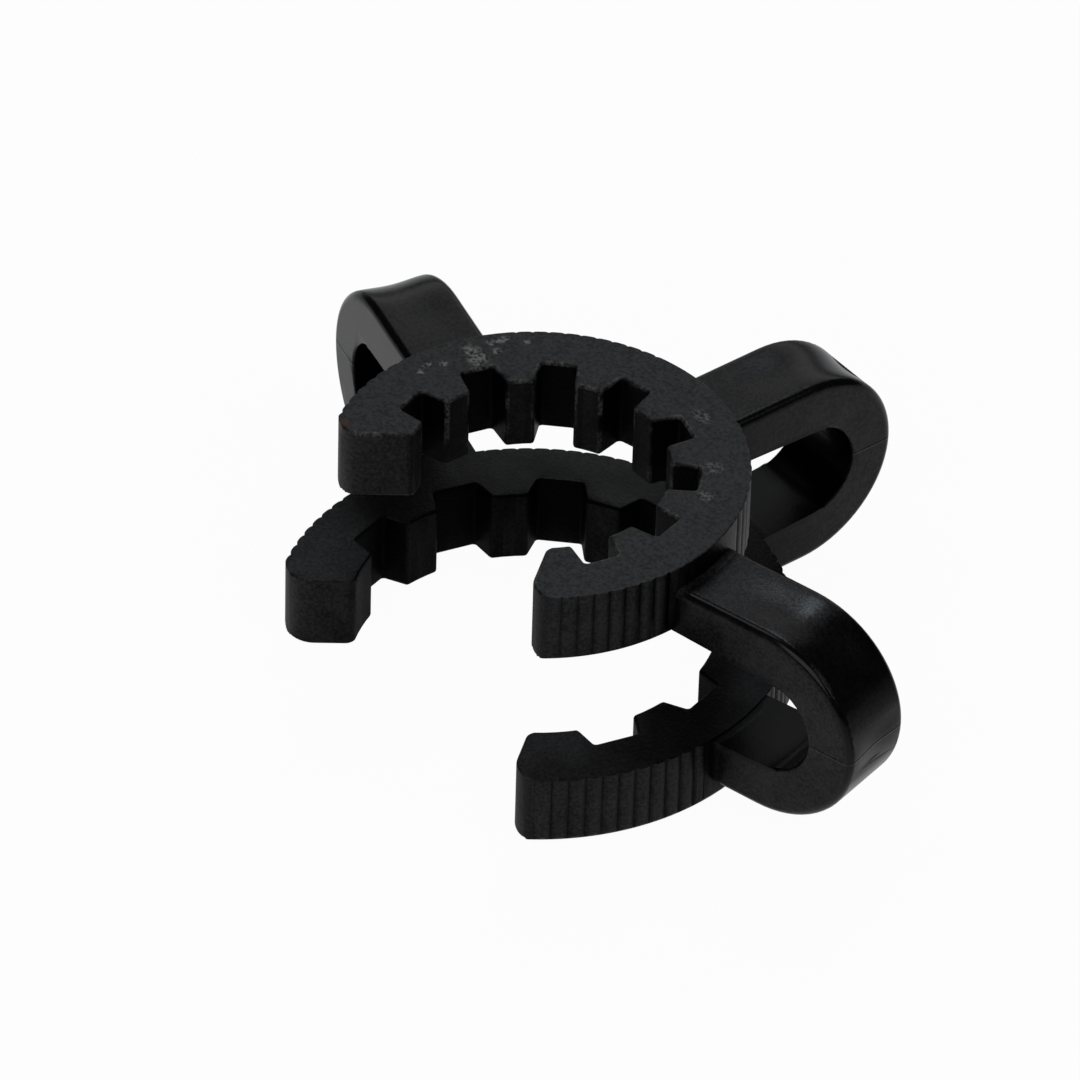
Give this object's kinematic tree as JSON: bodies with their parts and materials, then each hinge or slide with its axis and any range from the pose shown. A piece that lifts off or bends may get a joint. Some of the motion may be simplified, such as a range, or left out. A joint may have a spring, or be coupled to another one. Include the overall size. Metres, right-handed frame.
{
  "type": "ground glass joint clip",
  "caption": "Moulded plastic clip that holds a ground glass joint together, with toothed C-shaped rings joined by hairpin spring loops.",
  "frame": {"origin": "on the axis of the joint, at the lower face of the large ring", "axes": "+Z along the joint axis from the large socket ring up to the small tube ring; the mouth faces -Y and the back spring loop +Y"},
  "size_m": [0.0416, 0.0291, 0.0136],
  "materials": {
    "moulded_plastic": "satin black moulded acetal, fine grain on the ring faces"
  },
  "bodies": {
    "root": {"joint_clip": "moulded_plastic"}
  },
  "joints": []
}
